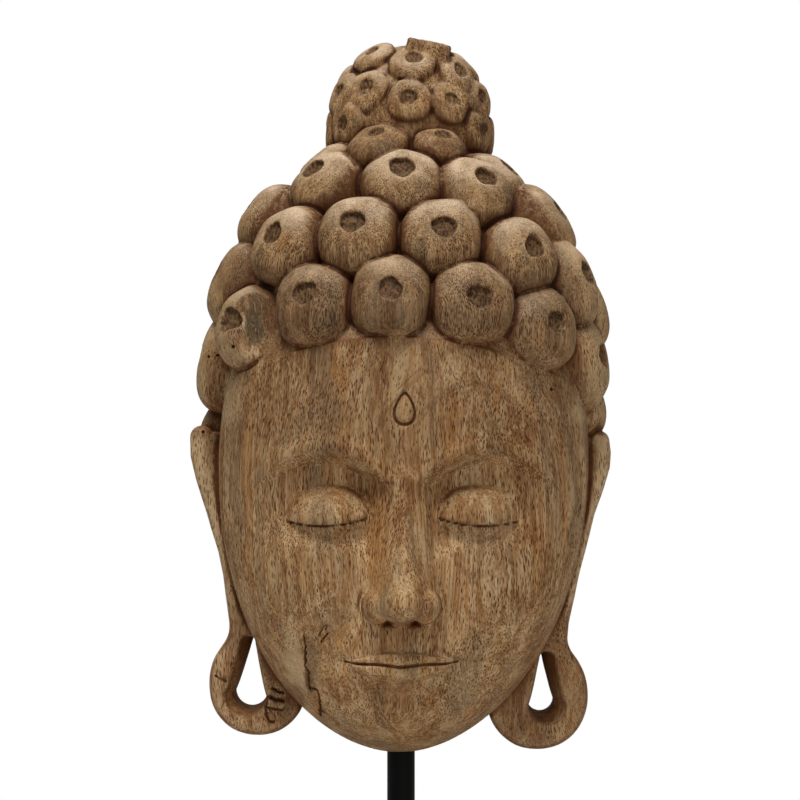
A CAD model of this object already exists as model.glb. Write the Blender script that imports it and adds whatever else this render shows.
"""Looks of the carved wooden mask and its black stand.

The mask is one surface: its form is written as a field in space (below zero inside the wood), the surface is taken from that field on a fine grid,
and hollows, crests and pits are kept on its points for the wood's colour.
"""

import math

import bmesh
import bpy
import numpy as np
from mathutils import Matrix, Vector


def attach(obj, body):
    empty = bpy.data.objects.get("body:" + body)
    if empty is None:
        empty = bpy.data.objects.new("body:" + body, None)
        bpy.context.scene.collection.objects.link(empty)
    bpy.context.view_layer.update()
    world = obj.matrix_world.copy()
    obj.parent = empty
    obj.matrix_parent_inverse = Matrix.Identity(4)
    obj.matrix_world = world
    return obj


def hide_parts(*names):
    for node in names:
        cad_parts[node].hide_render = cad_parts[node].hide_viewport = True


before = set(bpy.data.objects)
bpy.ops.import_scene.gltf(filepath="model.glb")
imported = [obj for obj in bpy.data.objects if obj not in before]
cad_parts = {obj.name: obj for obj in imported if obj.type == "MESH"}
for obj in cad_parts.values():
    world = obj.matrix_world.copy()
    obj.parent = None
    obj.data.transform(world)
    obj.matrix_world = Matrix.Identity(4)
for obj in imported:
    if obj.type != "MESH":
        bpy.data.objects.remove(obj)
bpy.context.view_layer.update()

# ---------------------------------------------------------------- sizes, in metres; heights on the head are measured from the chin
CHIN_Z = 0.130
BACK_Y = 0.035
LEAN, LEAN_X = 0.014, -0.001

HAIRLINE = 0.300
BROW = HAIRLINE * 2 / 3
NOSE_BASE = HAIRLINE / 3
MOUTH = NOSE_BASE * 2 / 3
EYE_LINE = BROW - 0.030
FACE_HALF = 0.1305
EYE_WIDTH = 2 * FACE_HALF / 5
TEMPLE = 0.205
FACE_EDGE = 0.012
MARK_Z, MARK_TALL = 0.2425, 0.0106

CURL_HALF, CURL_THICK, CURL_PIT = 0.0292, 0.0232, 0.0088
SMALL_HALF, SMALL_THICK, SMALL_PIT = 0.0160, 0.0052, 0.0055
HAIR_LOW = 0.219
CAVITY_C, CAVITY_R = np.array((0.003, 0.040, 0.245)), np.array((0.097, 0.080, 0.168))
ROD_RADIUS, ROD_IN_MASK, GAP = 0.0098, 0.055, 0.0003

STEP = 0.0010
TRIANGLES, HIDDEN_TRIANGLES = 160000, 28000


# ---------------------------------------------------------------- small helpers
def ease(t):
    t = np.clip(t, 0.0, 1.0)
    return t * t * (3.0 - 2.0 * t)


def smax(a, b, k):
    h = np.clip(0.5 + 0.5 * (a - b) / k, 0.0, 1.0)
    return b + (a - b) * h + k * h * (1.0 - h)


def smin(a, b, k):
    return -smax(-a, -b, k)


def curve(table, t):
    """A smooth curve through (position, value) stations."""
    p = np.array([a for a, _ in table])
    v = np.array([b for _, b in table])
    m = np.gradient(v, p)
    t = np.clip(t, p[0], p[-1])
    i = np.clip(np.searchsorted(p, t, side="right") - 1, 0, len(p) - 2)
    w = p[i + 1] - p[i]
    s = (t - p[i]) / w
    return (1 + 2 * s) * (1 - s) ** 2 * v[i] + s * (1 - s) ** 2 * w * m[i] + s * s * (3 - 2 * s) * v[i + 1] + s * s * (s - 1) * w * m[i + 1]


_rng = np.random.default_rng(11)
_perm = np.tile(_rng.permutation(256), 3)
_grad = _rng.normal(size=(256, 3))
_grad /= np.linalg.norm(_grad, axis=1, keepdims=True)


def noise(p, size, seed=0):
    """Smooth noise of about -0.7 to 0.7 with features of that size, at points (..., 3). size may be one number or three."""
    q = p / np.asarray(size, float) + 17.31 * seed
    i = np.floor(q).astype(np.int64)
    f = q - i
    i &= 255
    u = f * f * f * (f * (f * 6 - 15) + 10)
    total = np.zeros(q.shape[:-1])
    for a in (0, 1):
        wa = u[..., 0] if a else 1 - u[..., 0]
        for b in (0, 1):
            wb = wa * (u[..., 1] if b else 1 - u[..., 1])
            for c in (0, 1):
                g = _grad[_perm[_perm[_perm[i[..., 0] + a] + i[..., 1] + b] + i[..., 2] + c]]
                dot = g[..., 0] * (f[..., 0] - a) + g[..., 1] * (f[..., 1] - b) + g[..., 2] * (f[..., 2] - c)
                total += wb * (u[..., 2] if c else 1 - u[..., 2]) * dot
    return total


# ---------------------------------------------------------------- the face: a plain calm one, laid out in thirds and fifths
PROFILE = ((0.0, 0.070), (0.020, 0.0765), (0.042, 0.0785), (0.067, 0.0805), (0.100, 0.0815), (0.140, 0.0805), (0.172, 0.0815), (0.200, 0.0865), (0.240, 0.0915), (0.275, 0.0915), (0.310, 0.088), (0.345, 0.080))
RIDGE = ((0.085, 0.108), (0.100, 0.1135), (0.113, 0.1150), (0.130, 0.1085), (0.160, 0.0975), (0.185, 0.0915), (0.200, 0.0905), (0.215, 0.0890))
RIDGE_HALF = ((0.085, 0.0120), (0.112, 0.0115), (0.132, 0.0085), (0.160, 0.0070), (0.188, 0.0085), (0.203, 0.0130), (0.215, 0.020))
FLANK = ((0.095, 2.9), (0.112, 2.5), (0.130, 1.75), (0.160, 1.25), (0.190, 1.0), (0.215, 0.9))
BROW_LINE = ((0.0, 0.186), (0.012, 0.1935), (0.030, 0.2065), (0.055, 0.2140), (0.080, 0.2090), (0.104, 0.1930), (0.125, 0.172))
SOCKET = ((0.0, 0.004), (0.012, 0.0120), (0.026, 0.0165), (0.052, 0.0125), (0.080, 0.0075), (0.105, 0.0025), (0.13, 0.0))


def half_width(z):
    """The oval of the face: an egg, widest at the temples."""
    t = np.clip((TEMPLE - z) / TEMPLE, 0.0, 1.0)
    low = FACE_HALF * (1 - t**2.15) ** (1 / 1.85)
    return np.where(z < TEMPLE, low, FACE_HALF * (1 - 0.12 * ((z - TEMPLE) / 0.1) ** 2))


def gauss(x, z, cx, cz, sx, sz):
    return np.exp(-(((x - cx) / sx) ** 2) - ((z - cz) / sz) ** 2)


def dome(x, z, cx, cz, y0, a, b, c):
    """Front of an ellipsoid over its middle plane y0, and far below that where it has none."""
    r = ((x - cx) / a) ** 2 + ((z - cz) / b) ** 2
    return np.where(r < 1, y0 + c * np.sqrt(np.maximum(1 - r, 0)), y0 - c * (np.sqrt(np.maximum(r, 1.0)) - 1) * 6)


def mouth_line(ax):
    m = np.clip(ax / (0.75 * EYE_WIDTH), 0, 1.3)
    return m, MOUTH + 0.0022 * m * m - 0.0008 * np.cos(m * 7.0) * (1 - np.minimum(m, 1))


def lid_line(ax):
    s = (ax - EYE_WIDTH) / 0.0285
    return s, EYE_LINE - 0.0078 + 0.0040 * s * s - 0.0012 * s


def face_height(x, z):
    """How far the face stands in front of y = 0."""
    ax = np.abs(x)
    u = np.clip(ax / np.maximum(half_width(z), 1e-4), 0, 1)
    t = np.clip((TEMPLE - z) / TEMPLE, 0, 1)
    h = FACE_EDGE + np.maximum(curve(PROFILE, z) * np.sqrt(np.maximum(1 - t**13, 0)) - FACE_EDGE, 0) * (1 - u**2.35) ** 0.56
    h = h + 0.0050 * gauss(ax, z, 0.062, 0.122, 0.030, 0.030) + 0.0045 * gauss(x, z, 0.0, MOUTH + 0.004, 0.036, 0.026)
    h = h - 0.0030 * gauss(ax, z, 0.050, 0.060, 0.016, 0.026)

    # sockets under arched brows
    below = curve(BROW_LINE, ax) - z
    h = h - curve(SOCKET, ax) * ease(below / 0.013 + 0.10) * (1 - ease((below - 0.030) / 0.040))
    h = h + 0.0016 * np.exp(-(((below + 0.0045) / 0.0060) ** 2)) * (1 - ease((ax - 0.085) / 0.03)) * ease((ax - 0.006) / 0.012)

    # closed eyes: the upper lid laps over the lower one
    ex, ez = EYE_WIDTH, EYE_LINE - 0.001
    lid = dome(ax, z - 0.03 * (ax - ex), ex, ez, 0.0565, 0.0330, 0.0230, 0.0255)
    h = smax(h, lid - 0.10 * (ax - ex) - 0.35 * np.maximum(ax - ex, 0) ** 2 / 0.03, 0.0050)
    s, shut = lid_line(ax)
    d = z - shut
    on = ease((1.03 - np.abs(s)) / 0.16)
    h = h + on * (np.where(d > 0, 0.0018 * np.exp(-np.maximum(d, 0) / 0.009), -0.0012 * np.exp(np.minimum(d, 0) / 0.006)) - 0.0008 * np.exp(-((d / 0.0016) ** 2)))
    crease = ez + 0.0155 - 0.0150 * np.abs(s) ** 2.3
    h = h - 0.0011 * np.exp(-(((z - crease) / 0.0012) ** 2)) * ease((1.12 - np.abs(s)) / 0.3)
    low = ez - 0.0150 + 0.0085 * s * s
    h = h - 0.0009 * np.exp(-(((z - low) / 0.0017) ** 2)) * ease((1.05 - np.abs(s)) / 0.35)

    # nose
    rw = curve(RIDGE_HALF, z)
    n = curve(RIDGE, z) - rw * 0.42 * np.minimum(ax / rw, 1.0) ** 2.4 - curve(FLANK, z) * np.maximum(ax - rw, 0)
    n = n - (1 - ease((z - 0.0945) / 0.0075)) * 0.20 - (1 - ease((0.222 - z) / 0.03)) * 0.02
    n = smax(n, dome(x, z, 0.0, 0.1105, 0.0990, 0.0150, 0.0140, 0.0170), 0.003)
    n = smax(n, dome(ax, z, 0.0158, 0.1075, 0.0835, 0.0108, 0.0125, 0.0195), 0.004)
    h = smax(h, n, 0.0075)
    g = np.hypot((ax - 0.0165) / 0.0108, (z - 0.1085) / 0.0135)
    h = h - 0.0015 * np.exp(-(((g - 1.12) / 0.17) ** 2)) * ease((ax - 0.012) / 0.010) * ease((z - 0.098) / 0.010) * ease((0.124 - z) / 0.010)
    h = h - 0.0048 * np.exp(-(((ax - 0.0090) / 0.0052) ** 2) - ((z - 0.0968) / 0.0024) ** 2)

    # lips
    hw = 0.75 * EYE_WIDTH
    m, line = mouth_line(ax)
    upper = MOUTH + 0.0022 + 0.0078 * (1 - np.minimum(m, 1) ** 1.5) - 0.0016 * np.exp(-((ax / 0.0042) ** 2))
    lower = MOUTH + 0.0022 - 0.0135 * (1 - np.minimum(m / 0.96, 1) ** 2.4) ** 0.85
    tu = np.clip((z - line) / np.maximum(upper - line, 1e-5), 0, 1.0)
    tl = np.clip((line - z) / np.maximum(line - lower, 1e-5), 0, 1.0)
    lift = np.where((z >= line) & (z < upper), 0.0042 * np.sqrt(np.maximum(1 - (1 - tu) ** 2.2 * 0.60 - tu**5, 0)), 0)
    lift = lift + np.where((z < line) & (z > lower), 0.0054 * np.sqrt(np.maximum(1 - (1 - tl) ** 2.4 * 0.60 - tl**3.0, 0)), 0)
    h = h + lift * ease((1.0 - m) / 0.22) - 0.0008 * np.exp(-(((z - line) / 0.0018) ** 2)) * ease((1.08 - m) / 0.20)
    h = h - 0.0022 * gauss(ax, z, hw + 0.001, MOUTH + 0.0025, 0.0042, 0.0040)
    h = h - 0.0016 * np.exp(-((ax / 0.0032) ** 2)) * ease((z - 0.0755) / 0.004) * (1 - ease((z - 0.090) / 0.006))
    h = h - 0.0024 * gauss(x, z, 0.0, 0.0450, 0.022, 0.0060) + 0.0048 * gauss(x, z, 0.0, 0.0235, 0.0225, 0.0135)

    # the drop-shaped mark on the forehead, cut as an outline round a low drop
    zz = (z - MARK_Z) / MARK_TALL
    drop = np.hypot(x / (0.0066 * np.clip(1 - 0.42 * zz, 0.2, 1.5)), zz)
    h = h + 0.0007 * (1 - ease((drop - 0.70) / 0.25)) - 0.0008 * np.exp(-(((drop - 1.0) / 0.18) ** 2))
    return h


# ---------------------------------------------------------------- the hair
class Shell:
    """The ground that curls stand on: a rounded crown over straight sides."""

    def __init__(self, centre, radii, power, low, tip):
        self.c, self.r, self.p, self.low, self.tip = np.array(centre), np.array(radii), power, low, tip

    def seat(self, azimuth, latitude):
        """Foot, across, up and outward directions at a place; below the crown a latitude is a way down the straight side."""
        a, l = math.radians(azimuth), math.radians(latitude)
        flat = max(l, 0.0)
        u = np.array((math.cos(flat) * math.sin(a), -math.cos(flat) * math.cos(a), math.sin(flat)))
        d = self.r * u / (np.abs(u) ** self.p).sum() ** (1 / self.p)
        n = np.sign(d) * (np.abs(d) / self.r) ** (self.p - 1) / self.r
        n /= np.linalg.norm(n)
        if l < 0:
            d[2] = self.r[2] * math.sin(l)
        across = np.array((math.cos(a), math.sin(a), 0.0))
        up = np.cross(n, across)
        up /= np.linalg.norm(up)
        t = math.radians(min(self.tip[0] - self.tip[1] * latitude, 12.0))  # low curls look up a little, high ones a little down
        n, up = math.cos(t) * n + math.sin(t) * up, math.cos(t) * up - math.sin(t) * n
        return self.c + d, np.array((np.cross(up, n), up, n))

    def level(self, px, py, pz):
        dx, dy, dz = np.abs(px - self.c[0]) / self.r[0], np.abs(py - self.c[1]) / self.r[1], np.maximum(pz - self.c[2], 0) / self.r[2]
        p = self.p
        s = np.maximum((dx**p + dy**p + dz**p) ** (1 / p), 1e-4)
        g = np.sqrt(((dx / s) ** (p - 1) / self.r[0]) ** 2 + ((dy / s) ** (p - 1) / self.r[1]) ** 2 + ((dz / s) ** (p - 1) / self.r[2]) ** 2)
        return np.maximum((s - 1) / np.maximum(g, 4.0), self.low - pz)


SKULL = Shell((0.0, 0.012, 0.2835), (0.1246, 0.0930, 0.1310), 2.0, HAIR_LOW, (14.0, 0.44))
KNOT = Shell((0.0008, 0.040, 0.4440), (0.0560, 0.0470, 0.0600), 2.0, 0.385, (0.0, 0.0))

# rows of large curls: azimuth, latitude, width, height and thickness (shares of the usual size), where the pit sits
LARGE_ROWS = (
    ((-112, -9, 0.95, 1.00, 1.0), (-89, -3.5, 0.95, 1.24, 0.95), (-59.5, 6.5, 0.90, 1.03, 1.0), (-30.5, 13.0, 0.99, 1.03, 1.0, 0.000, 0.0020), (-5, 15.5, 0.97, 1.03, 1.0, 0.001, -0.001), (21.5, 13.5, 1.03, 1.04, 1.0, 0.0, -0.002), (47, 6.0, 0.99, 1.05, 1.0, 0.0, -0.001), (75, -3.5, 0.97, 1.20, 0.92), (104, -7, 1.0, 1.0, 1.0)),
    ((-112, 15, 1.00, 1.00, 1.0), (-84, 21, 1.00, 1.15, 0.92), (-49, 32.5, 0.98, 1.02, 1.0), (-19, 35.5, 1.00, 1.02, 1.0, 0.000, 0.0020), (13, 35, 1.00, 0.99, 1.0, -0.001, -0.001), (44, 28.5, 1.00, 1.00, 1.0, 0.0, -0.001), (71, 20.5, 0.90, 1.16, 0.91), (99, 11.5, 0.95, 1.05, 0.98), (122, 14, 0.95, 1.0, 1.0)),
    ((-119, 38, 1.00, 1.00, 1.0), (-85, 42.5, 1.00, 1.00, 1.12), (-57, 59, 1.00, 1.00, 1.0), (-3, 58.5, 1.00, 1.00, 1.0, 0.0, 0.0020), (38, 54.5, 1.00, 1.00, 1.0), (80, 41.5, 1.00, 1.16, 0.93), (114, 38, 1.00, 1.00, 1.0)),
    ((-86, 66, 0.92, 0.92, 1.1), (78, 61, 1.0, 0.97, 0.90)),
    ((-104, -26, 0.98, 0.90, 1.00), (93, -18.5, 0.98, 0.82, 0.80)),
)
SMALL_ROWS = (
    ((-88, -4, 1.0, 1.1), (-51, 0, 0.98, 1.10), (61, -4, 0.95, 1.08), (92, -6, 1.0, 1.1)),
    ((-66, 22, 0.95, 1.1), (-36, 24, 0.98, 1.02), (0, 16, 1.00, 1.00), (32, 15, 0.96, 1.00), (66, 18, 0.92, 1.0), (96, 22, 1.0, 1.0)),
    ((-96, 36, 1.0, 1.0), (-57, 56, 1.05, 1.00), (2, 47, 1.06, 1.02), (48, 37, 1.00, 1.00), (84, 46, 1.0, 1.0)),
)


class Curl:
    """One snail-shell curl: a knife-cut drum with rounded shoulders and a drilled pit in its face."""

    def __init__(self, place, half, thick, wide, tall, pit, pit_r, pit_depth, rng, shave=0.0010, deep=0.012):
        self.seat, self.frame = place
        self.half, self.thick, self.wide, self.tall, self.deep = half, thick, wide, tall, deep
        self.pit, self.pit_r, self.pit_depth = pit, pit_r, pit_depth
        self.wave = [(k, float(rng.uniform(0.3, 1.0)) * s, float(rng.uniform(0, 6.28))) for k, s in ((2, 0.020), (3, 0.020), (4, 0.022), (5, 0.010))]
        self.cuts = []
        for k in range(4):
            t = 6.283 * (k + float(rng.uniform(0.1, 0.9))) / 4
            e = math.radians(float(rng.uniform(32, 62)))
            self.cut(math.cos(t) * math.sin(e), math.sin(t) * math.sin(e), math.cos(e), shave * float(rng.uniform(0.2, 1.6)))

    def cut(self, a, b, c, depth, soft=0.0022):
        """A knife facet facing (a, b, c) in the curl's own frame, that takes off this depth."""
        q = POWER / (POWER - 1)
        reach = ((math.hypot(a * self.wide, b * self.tall) * self.half) ** q + (abs(c) * self.thick) ** q) ** (1 / q)
        self.cuts.append((a, b, c, reach - depth, soft))

    def local(self, px, py, pz):
        dx, dy, dz = px - self.seat[0], py - self.seat[1], pz - self.seat[2]
        f = self.frame
        return [f[i, 0] * dx + f[i, 1] * dy + f[i, 2] * dz for i in range(3)]

    def body(self, u, v, w):
        ang = np.arctan2(v / self.tall, u / self.wide)
        rim = 1.0
        for k, amount, phase in self.wave:
            rim = rim + amount * np.cos(k * (ang - phase))
        ru = (np.abs(u / self.wide) ** SQUARE + np.abs(v / self.tall) ** SQUARE) ** (1 / SQUARE) / (self.half * rim)
        rw = np.maximum(w, 0) / self.thick
        s = np.maximum((ru**POWER + rw**POWER) ** (1 / POWER), 1e-3)
        g = np.hypot((ru / s) ** (POWER - 1) / self.half, (rw / s) ** (POWER - 1) / self.thick)
        f = np.maximum((s - 1) / np.maximum(g, 20.0), -self.deep - w)
        for a, b, c, off, soft in self.cuts:
            f = smax(f, a * u + b * v + c * w - off, soft)
        return f

    def pit_edge(self, u, v):
        """Distance to the pit's rim, below zero inside."""
        ang = np.arctan2(v - self.pit[1], u - self.pit[0])
        r = self.pit_r * (1 + 0.06 * np.sin(2 * ang + self.seat[0] * 900) + 0.05 * np.sin(3 * ang + self.seat[2] * 700) + 0.03 * np.sin(5 * ang + self.seat[1] * 800))
        return np.hypot(u - self.pit[0], v - self.pit[1]) - r


POWER, SQUARE = 2.45, 2.2  # how boxy a curl is from its side and from its front


def make_curls():
    rng = np.random.default_rng(5)
    large, small = [], []
    for row in LARGE_ROWS:
        for azimuth, latitude, wide, tall, thick, *pit in row:
            c = Curl(SKULL.seat(azimuth, latitude), CURL_HALF, CURL_THICK * thick, wide, tall, pit or (float(rng.uniform(-0.001, 0.001)), 0.0), CURL_PIT * float(rng.uniform(0.92, 1.06)), 0.0050, rng, 0.0008)
            if azimuth == -59.5:  # the worn one, pared to a blunt ridge
                c.cut(0.77, -0.04, 0.64, 0.0090, 0.0007)
                c.cut(0.15, -0.66, 0.74, 0.0036, 0.0010)
            large.append(c)
    for x, z, tilt, half, pit in ((-0.0211, 0.4268, -13, 0.0226, (0.0010, 0.0010)), (0.0219, 0.4255, 13, 0.0195, (0.0004, 0.0012))):
        t, s = math.radians(tilt), math.radians(32)
        across = np.array((math.cos(t), 0.0, -math.sin(t)))
        up = np.array((math.sin(t) * math.sin(s), math.cos(s), math.cos(t) * math.sin(s)))
        out = np.array((math.sin(t) * math.cos(s), -math.sin(s), math.cos(t) * math.cos(s)))
        large.append(Curl((np.array((x, -0.0165, z)), np.array((across, up, out))), half, 0.0120, 1.0, 0.90, pit, 0.0062, 0.0026, rng, 0.0012, 0.030))
    for row in SMALL_ROWS:
        for azimuth, latitude, wide, tall in row:
            small.append(Curl(KNOT.seat(azimuth, latitude), SMALL_HALF, SMALL_THICK * float(rng.uniform(0.85, 1.1)) * (0.6 if 68 < abs(azimuth) < 80 else 1.0), wide, tall, (float(rng.uniform(-0.001, 0.001)), 0.0012), SMALL_PIT * float(rng.uniform(0.85, 1.15)), 0.0022 if latitude != 13 else 0.0010, rng, 0.0007, 0.008))
    return large, small


LARGE, SMALL = make_curls()


# ---------------------------------------------------------------- the field
xs = np.arange(-0.1560, 0.1560, STEP)
ys = np.arange(-0.1240, BACK_Y + 0.006, STEP)
zs = np.arange(-0.0060, 0.5120, STEP)
X, Y, Z = (a.astype(np.float32) for a in (xs[:, None, None], ys[None, :, None], zs[None, None, :]))
XL = X - LEAN * Z - LEAN_X  # across, in the head's own upright frame


def ellipsoid(px, py, pz, c, r):
    k0 = np.sqrt(((px - c[0]) / r[0]) ** 2 + ((py - c[1]) / r[1]) ** 2 + ((pz - c[2]) / r[2]) ** 2)
    k1 = np.sqrt(((px - c[0]) / r[0] ** 2) ** 2 + ((py - c[1]) / r[1] ** 2) ** 2 + ((pz - c[2]) / r[2] ** 2) ** 2)
    return (k0 * (k0 - 1) / np.maximum(k1, 1e-6)).astype(np.float32)


def hairline(x):
    """Height of the forehead's upper edge, an arch over the brow."""
    return 0.2915 - 0.0137 * ((x + 0.007) / 0.0806) ** 2


def face_field():
    x2, z2 = XL[:, 0, :].astype(float), np.broadcast_to(zs[None, :], (len(xs), len(zs)))
    h = face_height(x2, np.clip(z2, 0.0004, 0.345))
    gx, gz = np.gradient(h, STEP)
    slope = np.sqrt(1 + np.minimum(gx * gx + gz * gz, 8.0))
    half = half_width(np.maximum(z2, 0.0))
    gw = np.gradient(half, STEP, axis=1)
    side = (np.abs(x2) - half) / np.sqrt(1 + np.minimum(gw * gw, 30.0))
    side = np.maximum(np.maximum(side, -z2), z2 - 0.336)
    over = z2 - hairline(x2)  # above the hairline the ground between curls falls back
    back = 0.0014 * ease(over / 0.0012) + 0.42 * np.maximum(over, 0)
    f = (-Y - (h - back)[:, None, :].astype(np.float32)) / slope[:, None, :].astype(np.float32)
    return smax(f, side[:, None, :].astype(np.float32), 0.0025)


def grid_box(c, r):
    """Slices of the grid that hold everything within r of the curl's seat."""
    x0 = c.seat[0] + LEAN * c.seat[2] + LEAN_X
    return (
        slice(*np.searchsorted(xs, (x0 - r - 0.001, x0 + r + 0.001))),
        slice(*np.searchsorted(ys, (c.seat[1] - r, c.seat[1] + r))),
        slice(*np.searchsorted(zs, (c.seat[2] - r, c.seat[2] + r))),
    )


def add_curl(F, c, k):
    """Joins the curl to the field, then cuts its pit."""
    b = grid_box(c, c.half * 1.20 + 0.008)
    if 0 in F[b].shape:
        return
    px, py, pz = XL[b[0], :, b[2]], Y[:, b[1], :], Z[:, :, b[2]]
    u, v, w = (a.astype(np.float32) for a in c.local(px, py, pz))
    part = smin(F[b], c.body(u, v, w), k)
    bowl = ease(-c.pit_edge(u, v) / (0.24 * c.pit_r)) * ease((w - 0.25 * c.thick) / (0.2 * c.thick)) * ease(1 - np.abs(part) / 0.014)
    F[b] = part + np.float32(c.pit_depth) * bowl.astype(np.float32)


def chain(px, pz, points):
    """Distance to a chain of circles (x, z, r) joined by straight tapers, in the x-z plane."""
    best = None
    for (x0, z0, r0), (x1, z1, r1) in zip(points, points[1:]):
        dx, dz = x1 - x0, z1 - z0
        t = np.clip(((px - x0) * dx + (pz - z0) * dz) / (dx * dx + dz * dz), 0, 1)
        d = np.hypot(px - x0 - t * dx, pz - z0 - t * dz) - (r0 + (r1 - r0) * t)
        best = d if best is None else np.minimum(best, d)
    return best


# side; the outer edge as circles (x, z, r) from the neck of the loop to the ear's top; the loop's oval; its drop-shaped hole (low circle, point); how far the hole widens to the front
EARS = (
    (-1, ((-0.1105, 0.070, 0.0110), (-0.1125, 0.091, 0.0095), (-0.1162, 0.108, 0.0080), (-0.1183, 0.125, 0.0080), (-0.1216, 0.142, 0.0080), (-0.1300, 0.1705, 0.0080), (-0.1375, 0.1935, 0.0080), (-0.1408, 0.210, 0.0086), (-0.1412, 0.2220, 0.0083)), (-0.1014, 0.0476, 0.0347, 0.0369), ((-0.1067, 0.0410, 0.0114), (-0.1045, 0.0785, 0.0012)), (-0.0038, -0.0018)),
    (1, ((0.1090, 0.066, 0.0085), (0.1105, 0.0798, 0.0077), (0.1117, 0.0911, 0.0075), (0.1157, 0.1081, 0.0070), (0.1192, 0.1251, 0.0070), (0.1236, 0.1422, 0.0070), (0.1308, 0.1700, 0.0070), (0.1375, 0.1895, 0.0070), (0.1408, 0.2020, 0.0075), (0.1413, 0.2110, 0.0077), (0.1402, 0.2190, 0.0077)), (0.0965, 0.0394, 0.0361, 0.0387), ((0.0994, 0.0352, 0.0094), (0.0990, 0.0680, 0.0012)), (0.0042, -0.0028)),
)


def ears_field():
    """Both ears: an outer band, a facet that falls back to the face, and the loop of the lobe."""
    x2, z2 = X[:, 0, :], Z[:, 0, :]
    out = None
    for side, strip, (cx, cz, rx, rz), _, _ in EARS:
        edge = np.interp(zs, [p[1] for p in strip], [abs(p[0]) + p[2] for p in strip])[None, :]
        mid = np.interp(zs, [p[1] for p in strip], [abs(p[0]) for p in strip])[None, :]
        band = chain(x2, z2, strip)
        web = np.maximum(np.maximum(side * x2 - mid, 0.06 - side * x2), np.maximum(strip[0][1] - z2, z2 - strip[-1][1] - 0.004))
        oval = (np.abs((x2 - cx) / rx) ** 2.12 + np.abs((z2 - cz) / rz) ** 2.12) ** (1 / 2.12)
        oval = (oval - 1) * min(rx, rz)
        inward = edge - side * x2  # from the outer edge
        high = ease((z2 - 0.150) / 0.050)
        crest = 0.0065 + 0.0035 * high if side < 0 else 0.0050 + 0.0045 * ease((z2 - 0.165) / 0.045)
        end = 1 - ease((z2 - strip[-1][1] + 0.006) / 0.012)
        fall = np.clip((inward - crest) * 0.70, 0, 0.0060 + 0.0030 * high) * ease((z2 - 0.085) / 0.030) * end
        front = -0.0015 - 0.0025 * ease((z2 - 0.09) / 0.05) + fall
        body = smin(np.minimum(band, web), oval, 0.008)
        f = smax(body[:, None, :].astype(np.float32), ((front[:, None, :] - Y) / 1.2).astype(np.float32), np.float32(0.0045))
        out = f if out is None else np.minimum(out, f)
    return out


def ear_holes(F):
    """The drop-shaped openings, flared towards the front."""
    for side, _, _, (low, point), (sx, sz) in EARS:
        i = np.searchsorted(xs, (low[0] - 0.03, low[0] + 0.03))
        k = np.searchsorted(zs, (low[1] - 0.03, point[1] + 0.02))
        b = (slice(*i), slice(None), slice(*k))
        t = ease((0.016 - Y) / 0.018)
        px, pz = X[b[0]] - sx * t, Z[:, :, b[2]] - sz * t
        dx, dz = point[0] - low[0], point[1] - low[1]
        q = np.clip(((px - low[0]) * dx + (pz - low[1]) * dz) / (dx * dx + dz * dz), 0, 1)
        r = low[2] + (point[2] - low[2]) * q**0.85
        d = np.hypot(px - low[0] - q * dx, pz - low[1] - q * dz) - r - 0.0038 * t
        F[b] = smax(F[b], (-d).astype(np.float32), np.float32(0.0020))


def block(centre, half, turn):
    """A rounded box turned about Y."""
    c, s = math.cos(turn), math.sin(turn)
    dx, dz = XL - centre[0], Z - centre[2]
    q = [np.abs(c * dx + s * dz) - half[0], np.abs(Y - centre[1]) - half[1] + 0 * dx, np.abs(-s * dx + c * dz) - half[2]]
    return smax(smax(q[0], q[1], 0.002), q[2], 0.002).astype(np.float32)


def build_field():
    F = SKULL.level(XL, Y, Z).astype(np.float32)
    F = smin(F, ellipsoid(XL, Y, Z, (0.002, 0.012, 0.402), (0.058, 0.036, 0.024)), 0.004)
    for c in LARGE:
        add_curl(F, c, 0.0012)
    F = smin(F, KNOT.level(XL, Y, Z).astype(np.float32), 0.0025)
    F = np.minimum(F, block((0.0112, 0.024, 0.4880), (0.0158, 0.015, 0.0165), -0.20))
    for c in SMALL:
        add_curl(F, c, 0.0010)
    F = np.minimum(F, face_field())
    F = np.minimum(F, ears_field())
    F = smax(F, Y - BACK_Y, 0.0015)
    F = smax(F, -ellipsoid(X, Y, Z, CAVITY_C, CAVITY_R), 0.0030)
    ear_holes(F)
    bore = np.maximum(np.hypot(X, Y) - (ROD_RADIUS + GAP), Z - ROD_IN_MASK - GAP)
    return np.maximum(F, -bore).astype(np.float32)


# ---------------------------------------------------------------- surface from the field
CORNERS = [(a, b, c) for a in (0, 1) for b in (0, 1) for c in (0, 1)]
EDGES = [(p, q) for p in range(8) for q in range(p + 1, 8) if sum(abs(CORNERS[p][i] - CORNERS[q][i]) for i in range(3)) == 1]


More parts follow.
